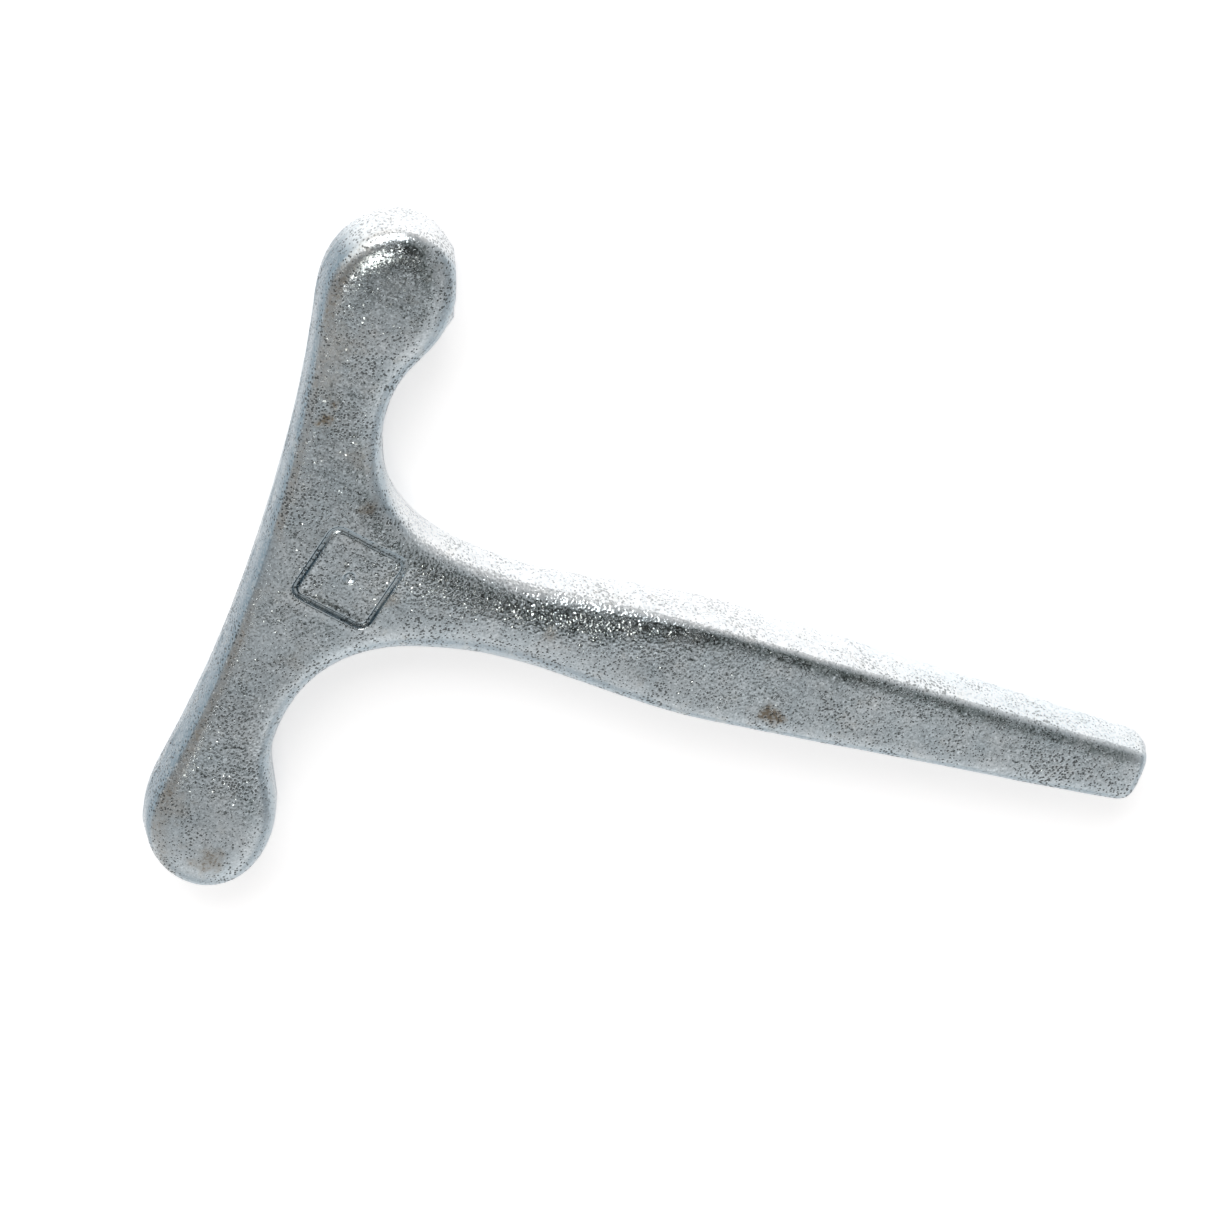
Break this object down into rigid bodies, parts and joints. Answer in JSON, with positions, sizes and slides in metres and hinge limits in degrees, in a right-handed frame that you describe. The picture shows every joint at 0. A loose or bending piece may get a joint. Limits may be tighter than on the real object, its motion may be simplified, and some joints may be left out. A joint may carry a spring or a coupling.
{
  "type": "tap wrench",
  "caption": "Forged T key: a cross bar with bulb ends turns a tapered square shank that is pushed into a square socket.",
  "frame": {"origin": "middle of the footprint, on the surface that the key lies on", "axes": "+X along the shank towards its tip, +Y along the cross bar, +Z out of the stamped face"},
  "size_m": [0.1242, 0.0954, 0.0108],
  "materials": {
    "forged_steel": "zinc-plated drop-forged steel, blue-grey, with a coarse blasted grain and dark pits"
  },
  "bodies": {
    "root": {"forged_body": "forged_steel"}
  },
  "joints": []
}
